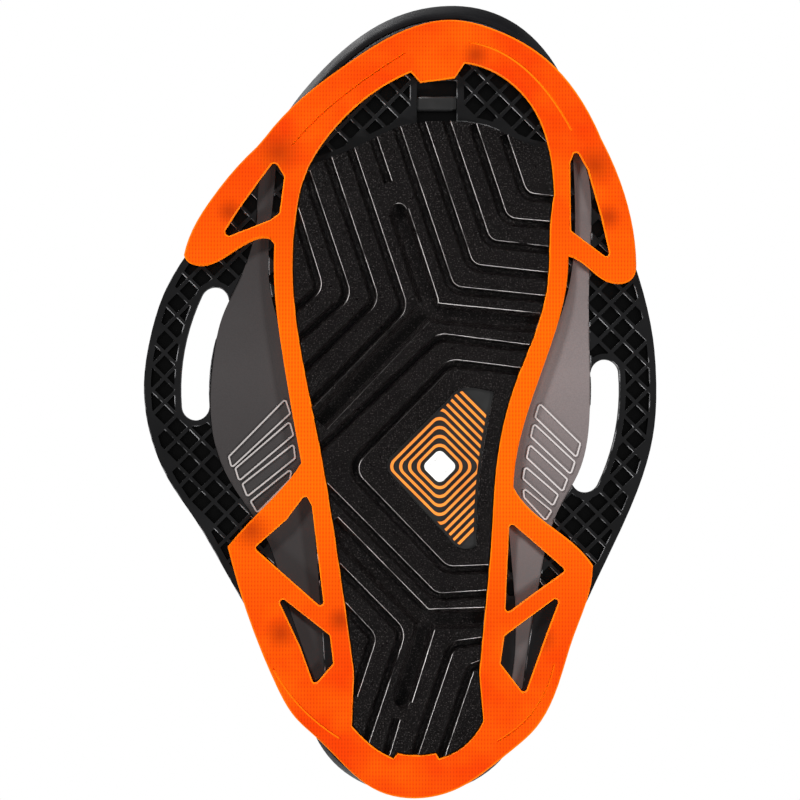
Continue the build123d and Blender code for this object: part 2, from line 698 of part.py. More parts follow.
def parts():
    """Every node's name and the function that makes it."""
    return {
        "base_gasket": base_gasket,
        "chassis_frame": chassis_frame,
        "outsole": outsole,
        "sole_inlay": sole_inlay,
        "inlay_lines": inlay_lines,
        "inlay_badge": inlay_badge,
        "side_plate_lateral": lambda: side_plate(outline(LATERAL_PLATE), LATERAL_WINDOWS),
        "side_plate_medial": lambda: side_plate(outline(MEDIAL_PLATE), MEDIAL_WINDOWS),
        "toe_bridge_bar": toe_bridge_bar,
        "boot_shell": boot_shell,
        "lasting_board": lasting_board,
        "boot_screws": boot_screws,
        "liner": liner,
        "footbed": footbed,
        "tongue": tongue,
        "throat_facing": throat_facing,
        "rand": rand,
        "toe_bumper": toe_bumper,
        "heel_counter": heel_counter,
        "pull_loop": pull_loop,
        "cuff_strap": cuff_strap,
        "cuff_strap_anchor": cuff_strap_anchor,
        "cuff_strap_pin": lambda: strap_pin(CUFF_PIN, CUFF_AXIS),
        "cuff_strap_landing": cuff_strap_landing,
        "instep_strap": instep_strap,
        "instep_strap_anchor": instep_strap_anchor,
        "instep_strap_pin": lambda: strap_pin(INSTEP_PIN, INSTEP_AXIS),
        "instep_strap_landing": instep_strap_landing}


os.makedirs("parts", exist_ok=True)
for name, make in parts().items():
    export_step(Rot(0, 0, 180) * make(), f"parts/{name}.step")
    print("wrote", name)
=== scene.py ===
import json
import math

import bpy
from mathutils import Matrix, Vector
from mathutils.bvhtree import BVHTree


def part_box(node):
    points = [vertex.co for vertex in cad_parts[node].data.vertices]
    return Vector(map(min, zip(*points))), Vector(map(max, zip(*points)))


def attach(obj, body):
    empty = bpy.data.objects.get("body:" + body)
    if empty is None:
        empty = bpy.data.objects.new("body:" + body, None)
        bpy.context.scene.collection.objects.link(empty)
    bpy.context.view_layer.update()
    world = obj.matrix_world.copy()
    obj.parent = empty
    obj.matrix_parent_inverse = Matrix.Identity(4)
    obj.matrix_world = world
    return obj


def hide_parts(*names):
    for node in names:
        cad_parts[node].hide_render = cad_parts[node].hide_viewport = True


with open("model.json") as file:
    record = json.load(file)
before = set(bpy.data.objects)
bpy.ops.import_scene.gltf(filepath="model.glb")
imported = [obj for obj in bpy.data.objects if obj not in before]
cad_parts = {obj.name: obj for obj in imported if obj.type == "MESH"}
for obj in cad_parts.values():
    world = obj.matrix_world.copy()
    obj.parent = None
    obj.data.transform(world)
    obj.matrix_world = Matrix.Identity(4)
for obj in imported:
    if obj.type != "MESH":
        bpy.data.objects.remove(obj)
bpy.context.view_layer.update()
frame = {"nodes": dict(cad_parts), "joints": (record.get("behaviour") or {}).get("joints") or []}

nodes = frame["nodes"]
scene = bpy.context.scene
MM = 0.001


# ---- camera: straight up at the sole, from far below ----
LENS = 180.0
SENSOR = 36.0
VIEW_WIDTH = 296 * MM
VIEW_OFFSET_Y = 3.7 * MM


def add_camera():
    """Camera whose picture is VIEW_WIDTH wide at the board plane."""
    camera_data = bpy.data.cameras.new("camera")
    camera_data.lens = LENS
    camera_data.sensor_width = SENSOR
    camera = bpy.data.objects.new("camera", camera_data)
    scene.collection.objects.link(camera)
    distance = VIEW_WIDTH * LENS / SENSOR
    camera.location = (0, VIEW_OFFSET_Y, -distance)
    camera.rotation_euler = (math.pi, 0, 0)
    scene.camera = camera


# ---- light and floor ----
# name, place, aim, side of the square in metres, power in watts
LIGHTS = (
    ("under_key", (-0.62, -0.95, -0.62), (0, 0, 0), 0.16, 20),
    ("under_fill", (1.0, 0.35, -0.62), (0, 0, 0), 0.16, 14),
    ("under_heel", (-0.55, 1.05, -0.5), (0, 0, 0), 0.16, 11),
    ("over_key", (-0.9, -1.0, 1.5), (0, 0, 0.1), 0.9, 40),
    ("over_fill", (1.2, 0.3, 1.2), (0, 0, 0.1), 1.0, 26),
    ("over_back", (-0.4, 1.3, 1.2), (0, 0, 0.1), 0.8, 26))
WORLD_LIT = 0.2
WORLD_SEEN = 1.0
FLOOR_HALF = 3.0
FLOOR_Z = -0.6 * MM
FLOOR_GREY = 0.82
FLOOR_FADE = (0.22, 0.75)


def add_area_light(name, place, aim, size, power):
    """Square light at a place, turned toward a point."""
    data = bpy.data.lights.new(name, "AREA")
    data.size = size
    data.energy = power
    light = bpy.data.objects.new(name, data)
    light.location = place
    light.rotation_euler = (Vector(aim) - Vector(place)).to_track_quat("-Z", "Y").to_euler()
    scene.collection.objects.link(light)


def add_lights():
    """Three lights below the board plane for the sole and three above it for the upper."""
    for light in LIGHTS:
        add_area_light(*light)


def add_world():
    """White to the camera, dimmer as a light."""
    world = bpy.data.worlds.new("studio")
    scene.world = world
    world.use_nodes = True
    tree = world.node_tree
    tree.nodes.clear()
    output = tree.nodes.new("ShaderNodeOutputWorld")
    mix = tree.nodes.new("ShaderNodeMixShader")
    path = tree.nodes.new("ShaderNodeLightPath")
    lit = tree.nodes.new("ShaderNodeBackground")
    seen = tree.nodes.new("ShaderNodeBackground")
    for background, strength in ((lit, WORLD_LIT), (seen, WORLD_SEEN)):
        background.inputs["Color"].default_value = (1, 1, 1, 1)
        background.inputs["Strength"].default_value = strength
    tree.links.new(path.outputs["Is Camera Ray"], mix.inputs["Fac"])
    tree.links.new(lit.outputs["Background"], mix.inputs[1])
    tree.links.new(seen.outputs["Background"], mix.inputs[2])
    tree.links.new(mix.outputs["Shader"], output.inputs["Surface"])


def set_tones():
    """Plain tones, so that the backdrop is white."""
    scene.view_settings.view_transform = "Standard"
    scene.view_settings.look = "None"


def floor_material():
    """Pale where the object stands and plain white far from it; nothing seen from below."""
    finish = Finish("floor", 0.9, specular=0.1)
    finish.shader.inputs["Base Color"].default_value = (FLOOR_GREY, FLOOR_GREY, FLOOR_GREY, 1)
    tree = finish.tree
    length = tree.nodes.new("ShaderNodeVectorMath")
    length.operation = "LENGTH"
    finish.link(finish.place, length.inputs[0])
    glow = tree.nodes.new("ShaderNodeEmission")
    fade = tree.nodes.new("ShaderNodeMixShader")
    finish.link(finish.ramp(length.outputs["Value"], *FLOOR_FADE), fade.inputs["Fac"])
    finish.link(finish.shader.outputs["BSDF"], fade.inputs[1])
    finish.link(glow.outputs["Emission"], fade.inputs[2])
    mix = tree.nodes.new("ShaderNodeMixShader")
    side = tree.nodes.new("ShaderNodeNewGeometry")
    clear = tree.nodes.new("ShaderNodeBsdfTransparent")
    finish.link(side.outputs["Backfacing"], mix.inputs["Fac"])
    finish.link(fade.outputs["Shader"], mix.inputs[1])
    finish.link(clear.outputs["BSDF"], mix.inputs[2])
    finish.link(mix.outputs["Shader"], tree.nodes["Material Output"].inputs["Surface"])
    return finish.material


def add_floor():
    """Pale floor that is opaque from above and open from below."""
    mesh = bpy.data.meshes.new("floor")
    corners = [(x * FLOOR_HALF, y * FLOOR_HALF, FLOOR_Z) for x, y in ((-1, -1), (1, -1), (1, 1), (-1, 1))]
    mesh.from_pydata(corners, [], [(0, 1, 2, 3)])
    floor = bpy.data.objects.new("floor", mesh)
    scene.collection.objects.link(floor)
    mesh.materials.append(floor_material())
    floor.visible_shadow = False
    floor.visible_diffuse = False
    floor.visible_glossy = False
    floor.visible_transmission = False


# ---- materials ----
SOLE_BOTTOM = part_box("outsole")[0][2]
FRAME_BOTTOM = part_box("chassis_frame")[0][2]
PLATE_BEAD = 0.45 * MM
PLATE_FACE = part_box("side_plate_lateral")[0][2] + PLATE_BEAD
PLATE_MIDDLE_Y = -5 * MM
PLATE_HALF_LENGTH = 95 * MM


class Finish:
    """A Principled material with object coordinates, built up by small steps."""

    def __init__(self, name, roughness, metallic=0.0, coat=0.0, sheen=0.0, specular=0.5):
        self.material = bpy.data.materials.new(name)
        self.material.use_nodes = True
        self.tree = self.material.node_tree
        self.shader = self.tree.nodes["Principled BSDF"]
        self.shader.inputs["Roughness"].default_value = roughness
        self.shader.inputs["Metallic"].default_value = metallic
        self.shader.inputs["Coat Weight"].default_value = coat
        self.shader.inputs["Sheen Weight"].default_value = sheen
        self.shader.inputs["Specular IOR Level"].default_value = specular
        self.place = self.tree.nodes.new("ShaderNodeTexCoord").outputs["Object"]
        self.normal = None

    def split(self):
        """Object coordinates as three outputs."""
        node = self.tree.nodes.new("ShaderNodeSeparateXYZ")
        self.link(self.place, node.inputs[0])
        return node.outputs

    def distance(self, centre):
        """Distance in metres from a point."""
        node = self.tree.nodes.new("ShaderNodeVectorMath")
        node.operation = "DISTANCE"
        self.link(self.place, node.inputs[0])
        node.inputs[1].default_value = centre
        return node.outputs["Value"]

    def facing(self, direction, rounding=0.0):
        """How far the surface faces a direction, -1 to 1, with its edges seen as rounded."""
        node = self.tree.nodes.new("ShaderNodeVectorMath")
        node.operation = "DOT_PRODUCT"
        source = self.tree.nodes.new("ShaderNodeBevel" if rounding else "ShaderNodeNewGeometry")
        if rounding:
            source.samples = 4
            source.inputs["Radius"].default_value = rounding
        self.link(source.outputs["Normal"], node.inputs[0])
        node.inputs[1].default_value = direction
        return node.outputs["Value"]

    def link(self, output, socket):
        self.tree.links.new(output, socket)

    def noise(self, size, detail=3.0):
        """Noise whose features are about size metres across."""
        node = self.tree.nodes.new("ShaderNodeTexNoise")
        node.inputs["Scale"].default_value = 1 / size
        node.inputs["Detail"].default_value = detail
        self.link(self.place, node.inputs["Vector"])
        return node.outputs["Fac"]

    def cells(self, size, feature="F1"):
        """Pebbled cells about size metres across."""
        node = self.tree.nodes.new("ShaderNodeTexVoronoi")
        node.feature = feature
        node.inputs["Scale"].default_value = 1 / size
        self.link(self.place, node.inputs["Vector"])
        return node.outputs["Distance"]

    def ribs(self, pitch, axis, sharpness=1.0):
        """Sine ridges that repeat along one object axis."""
        return self.sine(self.split()[axis], pitch, sharpness)

    def ridge(self, axis, pitch):
        """Narrow raised lines across one object axis."""
        return self.ramp(self.ribs(pitch, axis), 0.86, 1.0)

    def sine(self, along, pitch, sharpness=1.0):
        """Wave from 0 to 1 that repeats every pitch metres."""
        scaled = self.math("MULTIPLY", along, 2 * math.pi / pitch)
        wave = self.math("SINE", scaled, 0)
        return self.math("MULTIPLY_ADD", wave, 0.5 * sharpness, 0.5)

    def math(self, operation, first, second, third=None):
        """Math node; each value is a number or another node's output."""
        node = self.tree.nodes.new("ShaderNodeMath")
        node.operation = operation
        for socket, value in zip(node.inputs, (first, second, third)):
            if value is None:
                continue
            if isinstance(value, (int, float)):
                socket.default_value = value
            else:
                self.link(value, socket)
        return node.outputs[0]

    def mix(self, factor, dark, light):
        """Blend of two colours, each a tuple or an output; sockets 6, 7 and 2 are the node's colours."""
        node = self.tree.nodes.new("ShaderNodeMix")
        node.data_type = "RGBA"
        self.link(factor, node.inputs["Factor"])
        for socket, colour in ((node.inputs[6], dark), (node.inputs[7], light)):
            if isinstance(colour, tuple):
                socket.default_value = (*colour, 1)
            else:
                self.link(colour, socket)
        return node.outputs[2]

    def ramp(self, factor, low, high):
        """Factor stretched so that low becomes 0 and high becomes 1."""
        node = self.tree.nodes.new("ShaderNodeMapRange")
        node.inputs["From Min"].default_value = low
        node.inputs["From Max"].default_value = high
        self.link(factor, node.inputs["Value"])
        return node.outputs["Result"]

    def colour(self, output):
        self.link(output, self.shader.inputs["Base Color"])

    def rough(self, factor, low, high):
        """Roughness that runs from low to high with the factor."""
        node = self.tree.nodes.new("ShaderNodeMapRange")
        node.inputs["To Min"].default_value = low
        node.inputs["To Max"].default_value = high
        self.link(factor, node.inputs["Value"])
        self.link(node.outputs["Result"], self.shader.inputs["Roughness"])

    def bump(self, height, depth, strength=1.0):
        """Relief of a depth in metres, on top of any relief given before."""
        node = self.tree.nodes.new("ShaderNodeBump")
        node.inputs["Distance"].default_value = depth
        node.inputs["Strength"].default_value = strength
        self.link(height, node.inputs["Height"])
        if self.normal:
            self.link(self.normal, node.inputs["Normal"])
        self.normal = node.outputs["Normal"]
        self.link(self.normal, self.shader.inputs["Normal"])


def mottled(name, dark, light, roughness, patch, grain, grain_depth, **options):
    """Moulded or coated material: two close tones in patches, a fine grain and uneven gloss."""
    finish = Finish(name, roughness, **options)
    finish.colour(finish.mix(finish.ramp(finish.noise(patch), 0.3, 0.7), dark, light))
    finish.rough(finish.noise(patch * 0.35, 4), roughness * 0.8, min(1.0, roughness * 1.25))
    finish.bump(finish.noise(grain, 2), grain_depth)
    return finish.material


# x, y and radius in mm of each soft spot of painted shade where the rubber is dented
DENT_SHADE_SPOTS = ((-45, -88, 10), (-63, -66, 6), (72, -83, 9), (77, -64, 6), (-44, 90, 7), (-22, 85, 6),
              (-55, 52, 9), (52, 92, 7), (28, -124, 6))
# middle and fade in metres of the painted light on the rails
RAIL_MIDDLE_Y = 8 * MM
RAIL_LIGHT_FADE = (0.1, 0.03)
DOT_PITCH_X = 1.15 * MM
DOT_PITCH_Y = 1.5 * MM


def orange_elastomer():
    """Soft orange rubber: fine upright ribs broken into dots, painted light on the rails toward the middle
    of its length, painted highlights on its rims and painted shade in soft dented spots.
    """
    finish = Finish("orange_elastomer", 0.5, specular=0.05)
    split = finish.split()
    # painted light: paler on the rails toward the middle of the gasket's length, mixed with random patches
    # of tone
    away = finish.math("ABSOLUTE", finish.math("SUBTRACT", split[1], RAIL_MIDDLE_Y), 0)
    middle = finish.ramp(away, *RAIL_LIGHT_FADE)
    patches = finish.ramp(finish.noise(0.03), 0.4, 0.64)
    patches = finish.math("MULTIPLY", patches, 0.55)
    tone = finish.math("MAXIMUM", patches, finish.math("MULTIPLY", middle, 0.9))
    base = finish.mix(tone, (0.70, 0.042, 0.0002), (0.90, 0.13, 0.0006))
    dots = finish.math("MULTIPLY", finish.ribs(DOT_PITCH_X, 0), finish.ribs(DOT_PITCH_Y, 1, 0.5))
    base = finish.mix(finish.math("MULTIPLY", dots, 0.75), base, (0.42, 0.018, 0.0002))
    # painted shade: darker soft spots where the rubber is dented
    dent_shade = None
    for x, y, radius in DENT_SHADE_SPOTS:
        spot = finish.ramp(finish.distance((x * MM, y * MM, 0)), radius * MM, 1 * MM)
        dent_shade = finish.math("MAXIMUM", dent_shade, spot) if dent_shade else spot
    base = finish.mix(finish.math("MULTIPLY", dent_shade, 0.7), base, (0.30, 0.022, 0.0004))
    # painted highlight: every face above the bottom one, its rounded edges and walls, turns pale
    rim = finish.ramp(split[2], 0.04 * MM, 0.12 * MM)
    finish.colour(finish.mix(rim, base, (0.96, 0.19, 0.002)))
    finish.rough(finish.noise(0.004, 3), 0.38, 0.55)
    finish.bump(dots, 0.14 * MM, 0.7)
    finish.bump(finish.noise(0.5 * MM, 2), 0.05 * MM, 0.4)
    return finish.material


def painted_rim_highlight(finish, low, high, dark, light, facing, coverage, back=0.0):
    """Painted highlight: colour that turns pale on the rounded rims that face one way, in broken stretches,
    standing for light caught there.
    """
    split = finish.split()
    above = finish.ramp(split[2], low, low + 0.03 * MM)
    below = finish.ramp(split[2], high, high - 0.05 * MM)
    turned = finish.ramp(finish.facing(facing), 0.12, 0.4)
    if back:
        turned_back = finish.ramp(finish.facing(facing), -0.12, -0.4)
        turned = finish.math("MAXIMUM", turned, finish.math("MULTIPLY", turned_back, back))
    broken = finish.ramp(finish.noise(0.012, 2), *coverage)
    zone = finish.math("MULTIPLY", above, below)
    rim = finish.math("MULTIPLY", zone, finish.math("MULTIPLY", turned, broken))
    return finish.mix(rim, dark, light)


def sole_rubber():
    """Near-black rubber with a coarse grain whose pale specks are partly painted sparkle, and painted
    highlights in broken stretches on the rims of its grooves.
    """
    finish = Finish("sole_rubber", 0.3, specular=0.16)
    patches = finish.ramp(finish.noise(0.02), 0.3, 0.7)
    # pale grain specks: partly the rubber's grain, partly painted sparkle highlights
    grain = finish.ramp(finish.noise(0.5 * MM, 1), 0.6, 0.74)
    base = finish.mix(patches, (0.0018, 0.0013, 0.0013), (0.0036, 0.0028, 0.0028))
    base = finish.mix(grain, base, (0.06, 0.052, 0.05))
    # painted highlights on the groove rims that face one way
    finish.colour(painted_rim_highlight(finish, SOLE_BOTTOM + 0.02 * MM, SOLE_BOTTOM + 0.4 * MM, base,
                            (0.75, 0.71, 0.7), (-0.8, 0.6, 0), (0.3, 0.5)))
    finish.rough(finish.noise(0.003, 4), 0.22, 0.38)
    finish.bump(finish.cells(0.9 * MM), 0.2 * MM, 0.8)
    finish.bump(finish.noise(0.35 * MM, 2), 0.16 * MM, 0.9)
    return finish.material


def lattice_nylon():
    """Black nylon with short painted glints on one side of its lattice edges."""
    finish = Finish("black_nylon", 0.34, specular=0.3)
    patches = finish.ramp(finish.noise(0.03), 0.3, 0.7)
    base = finish.mix(patches, (0.003, 0.003, 0.0032), (0.006, 0.006, 0.0065))
    # painted glints: pale on the rounded edges of the bottom face that face one way, in broken stretches
    turned = finish.ramp(finish.facing((-0.8, 0.5, 0), 0.7 * MM), 0.16, 0.42)
    low_face = finish.ramp(finish.split()[2], FRAME_BOTTOM + 0.3 * MM, FRAME_BOTTOM + 0.2 * MM)
    broken = finish.ramp(finish.noise(0.006, 2), 0.46, 0.6)
    painted_glint = finish.math("MULTIPLY", finish.math("MULTIPLY", turned, low_face), broken)
    finish.colour(finish.mix(painted_glint, base, (0.42, 0.42, 0.43)))
    finish.rough(finish.noise(0.01, 4), 0.28, 0.42)
    finish.bump(finish.noise(0.4 * MM, 2), 0.03 * MM)
    return finish.material


def side_plate(name, low, high, edge):
    """Satin metallic paint with painted light: paler toward the middle of the plate's length, with painted
    highlights on its rims and raised beads.
    """
    finish = Finish(name, 0.45, metallic=0.2, specular=0.3)
    # painted light: paler toward the middle of the plate's length
    away = finish.math("ABSOLUTE", finish.math("SUBTRACT", finish.split()[1], PLATE_MIDDLE_Y), 0)
    tone = finish.ramp(away, PLATE_HALF_LENGTH, 0.0)
    speckle = finish.ramp(finish.noise(0.5 * MM, 2), 0.2, 0.8)
    speckled = finish.math("MULTIPLY", tone, finish.math("MULTIPLY_ADD", speckle, 0.5, 0.7))
    paint = finish.mix(speckled, low, high)
    # painted highlights on the rims that face one way
    paint = painted_rim_highlight(finish, PLATE_FACE + 0.02 * MM, PLATE_FACE + 0.34 * MM, paint, edge, (-0.7, 0.1, 0),
                      (0.1, 0.3), back=0.4)
    # painted highlight on the raised beads
    beads = finish.ramp(finish.split()[2], PLATE_FACE - 0.15 * MM, PLATE_FACE - 0.25 * MM)
    finish.colour(finish.mix(beads, paint, edge))
    finish.rough(finish.noise(0.01, 3), 0.4, 0.52)
    finish.bump(finish.noise(0.3 * MM, 2), 0.03 * MM, 0.7)
    return finish.material


def woven(name, dark, light, pitch, depth, roughness=0.75):
    """Tight plain weave in object space."""
    finish = Finish(name, roughness, sheen=0.3)
    across = finish.ribs(pitch, 0)
    along = finish.ribs(pitch, 2)
    deep = finish.ribs(pitch, 1)
    weave = finish.math("MULTIPLY", finish.math("ADD", across, deep), along)
    finish.colour(finish.mix(finish.ramp(weave, 0.2, 1.4), dark, light))
    finish.bump(weave, depth, 0.8)
    finish.bump(finish.noise(pitch * 0.4, 2), depth * 0.3, 0.5)
    return finish.material


def patchy(name, dark, light, roughness, specular):
    """Start of a cloth or leather: slow patches of tone and uneven gloss."""
    finish = Finish(name, roughness, specular=specular)
    finish.colour(finish.mix(finish.ramp(finish.noise(0.03), 0.3, 0.7), dark, light))
    finish.rough(finish.noise(0.008, 4), roughness * 0.85, roughness * 1.2)
    return finish


def ripstop(name, dark, light, pitch, roughness):
    """Coated cloth with a raised grid of thicker threads."""
    finish = patchy(name, dark, light, roughness, 0.35)
    grid = finish.math("MAXIMUM", finish.ridge(0, pitch), finish.ridge(2, pitch))
    grid = finish.math("MAXIMUM", grid, finish.ridge(1, pitch))
    finish.bump(grid, 0.22 * MM, 0.7)
    finish.bump(finish.noise(0.5 * MM, 2), 0.08 * MM, 0.6)
    return finish.material


def leather(name, dark, light, roughness):
    """Synthetic leather with a soft pebble."""
    finish = patchy(name, dark, light, roughness, 0.4)
    finish.bump(finish.cells(1.6 * MM, "SMOOTH_F1"), 0.12 * MM, 0.5)
    finish.bump(finish.noise(0.4 * MM, 2), 0.05 * MM, 0.5)
    return finish.material


MATERIALS = {
    "base_gasket": orange_elastomer(),
    "chassis_frame": lattice_nylon(),
    "outsole": sole_rubber(),
    "sole_inlay": mottled("inlay_black", (0.012, 0.012, 0.012), (0.02, 0.02, 0.02), 0.35, 0.01, 0.3 * MM,
                          0.02 * MM),
    "inlay_lines": mottled("inlay_orange", (0.75, 0.20, 0.02), (0.9, 0.28, 0.03), 0.5, 0.01, 0.3 * MM,
                           0.02 * MM),
    "inlay_badge": mottled("badge_white", (0.75, 0.75, 0.73), (0.88, 0.88, 0.87), 0.45, 0.004, 0.3 * MM,
                           0.02 * MM),
    # the third colour of each plate is its painted highlight on rims and raised beads
    "side_plate_lateral": side_plate("plate_dark", (0.026, 0.023, 0.023), (0.05, 0.045, 0.045),
                                     (0.42, 0.39, 0.38)),
    "side_plate_medial": side_plate("plate_light", (0.09, 0.078, 0.077), (0.21, 0.175, 0.173),
                                    (0.55, 0.51, 0.5)),
    "toe_bridge_bar": mottled("bar_black", (0.012, 0.012, 0.012), (0.02, 0.02, 0.02), 0.35, 0.01, 0.3 * MM,
                              0.02 * MM),
    "boot_shell": ripstop("shell_black", (0.016, 0.016, 0.018), (0.026, 0.026, 0.029), 5.2 * MM, 0.55),
    "lasting_board": mottled("board_fibre", (0.22, 0.19, 0.14), (0.3, 0.26, 0.2), 0.8, 0.01, 0.6 * MM,
                             0.1 * MM),
    "liner": woven("liner_fabric", (0.03, 0.03, 0.033), (0.07, 0.07, 0.075), 1.4 * MM, 0.2 * MM),
    "footbed": woven("footbed_foam", (0.05, 0.05, 0.055), (0.1, 0.1, 0.105), 2.2 * MM, 0.2 * MM),
    "tongue": woven("tongue_fabric", (0.035, 0.035, 0.038), (0.085, 0.085, 0.09), 1.6 * MM, 0.2 * MM),
    "throat_facing": leather("facing_grey", (0.14, 0.14, 0.145), (0.2, 0.2, 0.205), 0.5),
    "rand": mottled("rand_rubber", (0.006, 0.006, 0.007), (0.011, 0.011, 0.012), 0.7, 0.02, 0.6 * MM,
                    0.08 * MM, specular=0.06),
    "toe_bumper": mottled("bumper_rubber", (0.010, 0.010, 0.011), (0.018, 0.018, 0.019), 0.65, 0.02,
                          0.5 * MM, 0.08 * MM, specular=0.08),
    "heel_counter": mottled("counter_black", (0.016, 0.016, 0.018), (0.026, 0.026, 0.03), 0.3, 0.03,
                            0.5 * MM, 0.04 * MM, coat=0.2),
    "pull_loop": woven("webbing_orange", (0.55, 0.09, 0.01), (0.85, 0.17, 0.02), 1.8 * MM, 0.25 * MM, 0.65),
    "cuff_strap": leather("strap_black", (0.016, 0.016, 0.018), (0.03, 0.03, 0.033), 0.55),
    "cuff_strap_anchor": mottled("anchor_black", (0.016, 0.016, 0.018), (0.026, 0.026, 0.028), 0.4, 0.01,
                                 0.4 * MM, 0.04 * MM),
    "cuff_strap_landing": woven("loop_pile", (0.01, 0.01, 0.011), (0.04, 0.04, 0.042), 1.1 * MM,
                                0.3 * MM, 0.95),
}
STEEL = mottled("stainless", (0.45, 0.45, 0.46), (0.6, 0.6, 0.61), 0.3, 0.006, 0.2 * MM, 0.01 * MM,
                metallic=1.0)
MATERIALS["boot_screws"] = STEEL
MATERIALS["cuff_strap_pin"] = STEEL
MATERIALS["instep_strap_pin"] = STEEL
MATERIALS["instep_strap"] = MATERIALS["cuff_strap"]
MATERIALS["instep_strap_anchor"] = MATERIALS["cuff_strap_anchor"]
MATERIALS["instep_strap_landing"] = MATERIALS["cuff_strap_landing"]
THREAD_DARK = mottled("thread_grey", (0.10, 0.10, 0.105), (0.17, 0.17, 0.175), 0.6, 0.002, 0.2 * MM,
                      0.03 * MM)
THREAD_ORANGE = mottled("thread_orange", (0.75, 0.14, 0.01), (0.9, 0.2, 0.02), 0.6, 0.002, 0.2 * MM,
                        0.03 * MM)
PANEL = leather("panel_graphite", (0.045, 0.045, 0.048), (0.075, 0.075, 0.08), 0.42)

# width in mm of the rounded edge of each CAD node
EDGE_BREAK = {
    "base_gasket": 0.35, "chassis_frame": 0.26, "outsole": 0.4, "side_plate_lateral": 0.26,
    "side_plate_medial": 0.26, "inlay_lines": 0.1, "inlay_badge": 0.12, "toe_bridge_bar": 0.2,
    "boot_shell": 0.6, "throat_facing": 0.4, "rand": 0.6, "toe_bumper": 0.5, "heel_counter": 0.5,
    "pull_loop": 0.5, "cuff_strap": 0.7, "instep_strap": 0.7, "cuff_strap_anchor": 0.4,
    "instep_strap_anchor": 0.4, "cuff_strap_landing": 0.4, "instep_strap_landing": 0.4}


def add_bevel(piece, name, width, angle):
    """Rounds the edges where two faces meet at more than an angle in degrees."""
    bevel = piece.modifiers.new(name, "BEVEL")
    bevel.width = width
    bevel.segments = 2
    bevel.limit_method = "ANGLE"
    bevel.angle_limit = math.radians(angle)


def add_smoothing(piece, levels):
    """Subdivides a piece, alike on screen and in a render."""
    subdivision = piece.modifiers.new("smooth", "SUBSURF")
    subdivision.levels = levels
    subdivision.render_levels = levels


def dress_cad_nodes():
    """Gives every CAD node its material, and those listed in EDGE_BREAK a small rounded edge."""
    for name, node in nodes.items():
        node.data.materials.clear()
        node.data.materials.append(MATERIALS[name])
        if name in EDGE_BREAK:
            weld = node.modifiers.new("weld", "WELD")
            weld.merge_threshold = 0.004 * MM
            add_bevel(node, "edge_break", EDGE_BREAK[name] * MM, 35)


# ---- the boot's skin, read from the CAD shell ----
AXIS_X = 6 * MM
AXIS_BACK_Y = 70 * MM
AXIS_LEAVES_TOE = (45 * MM, 120 * MM)
THROAT_X = 8 * MM
COLLAR_Z = 214 * MM
COLLAR_TILT = math.tan(math.radians(7))
COLLAR_PIVOT_Y = 80 * MM
FAR = 0.4
SKIN_LIFT = 0.05 * MM
LATERAL, MEDIAL = -1, 1
SIDES = ((LATERAL, "lateral"), (MEDIAL, "medial"))


def tree_of(*names):
    """Ray-casting tree over some CAD nodes."""
    points = []
    faces = []
    for name in names:
        mesh = nodes[name].data
        first = len(points)
        points += [vertex.co.copy() for vertex in mesh.vertices]
        faces += [[first + index for index in polygon.vertices] for polygon in mesh.polygons]
    return BVHTree.FromPolygons(points, faces)


SKIN = tree_of("boot_shell", "tongue")
SHELL = tree_of("boot_shell")
LINER = tree_of("liner")
FOOTBED = tree_of("footbed")


def blend_value(value, low, high):
    """0 below low, 1 above high, smooth between."""
    share = min(1.0, max(0.0, (value - low) / (high - low)))
    return share * share * (3 - 2 * share)


def axis_point(z):
    """Middle of the boot at height z: mid-foot low down, the middle of the shaft higher up."""
    return Vector((AXIS_X, AXIS_BACK_Y * blend_value(z, *AXIS_LEAVES_TOE), z))


def outward_at(bearing):
    """Level direction at a bearing in degrees; the front of the boot is at -90."""
    turn = math.radians(bearing)
    return Vector((math.cos(turn), math.sin(turn), 0))


def first_hit(tree, start, direction):
    """Point and normal where a ray first meets a surface, or two Nones."""
    hit, normal, _, _ = tree.ray_cast(start, direction)
    return hit, normal


def cast(tree, bearing, z):
    """Outer surface met from outside at a bearing and a height."""
    outward = outward_at(bearing)
    hit, normal = first_hit(tree, axis_point(z) + outward * FAR, -outward)
    return hit, normal if normal.dot(outward) > 0 else -normal


def front_cast(tree, x, z):
    """Outer surface met from straight ahead of the toe."""
    return first_hit(tree, Vector((x, -FAR, z)), Vector((0, 1, 0)))


def collar_height(y):
    """Height of the liner's tilted rim at a place along the boot."""
    return COLLAR_Z - (y - COLLAR_PIVOT_Y) * COLLAR_TILT


def new_piece(name, points, faces, material, body="chassis"):
    """Smooth mesh that rides on a body."""
    mesh = bpy.data.meshes.new(name)
    mesh.from_pydata([tuple(point) for point in points], [], faces)
    mesh.validate()
    piece = bpy.data.objects.new(name, mesh)
    scene.collection.objects.link(piece)
    mesh.materials.append(material)
    mesh.shade_smooth()
    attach(piece, body)
    return piece


def grid_faces(rows, columns, closed=False):
    """Quads over a grid of points stored row by row; closed joins the last column to the first."""
    faces = []
    last = columns if closed else columns - 1
    for row in range(rows - 1):
        for column in range(last):
            right = (column + 1) % columns
            faces.append((row * columns + column, row * columns + right,
                          (row + 1) * columns + right, (row + 1) * columns + column))
    return faces


def thicken(piece, thickness, offset=1, edge=0.0):
    """Gives a sheet a thickness on one side, and rounds its edges if an edge width is given."""
    solid = piece.modifiers.new("thickness", "SOLIDIFY")
    solid.thickness = thickness
    solid.offset = offset
    if edge:
        add_bevel(piece, "edge", edge, 50)


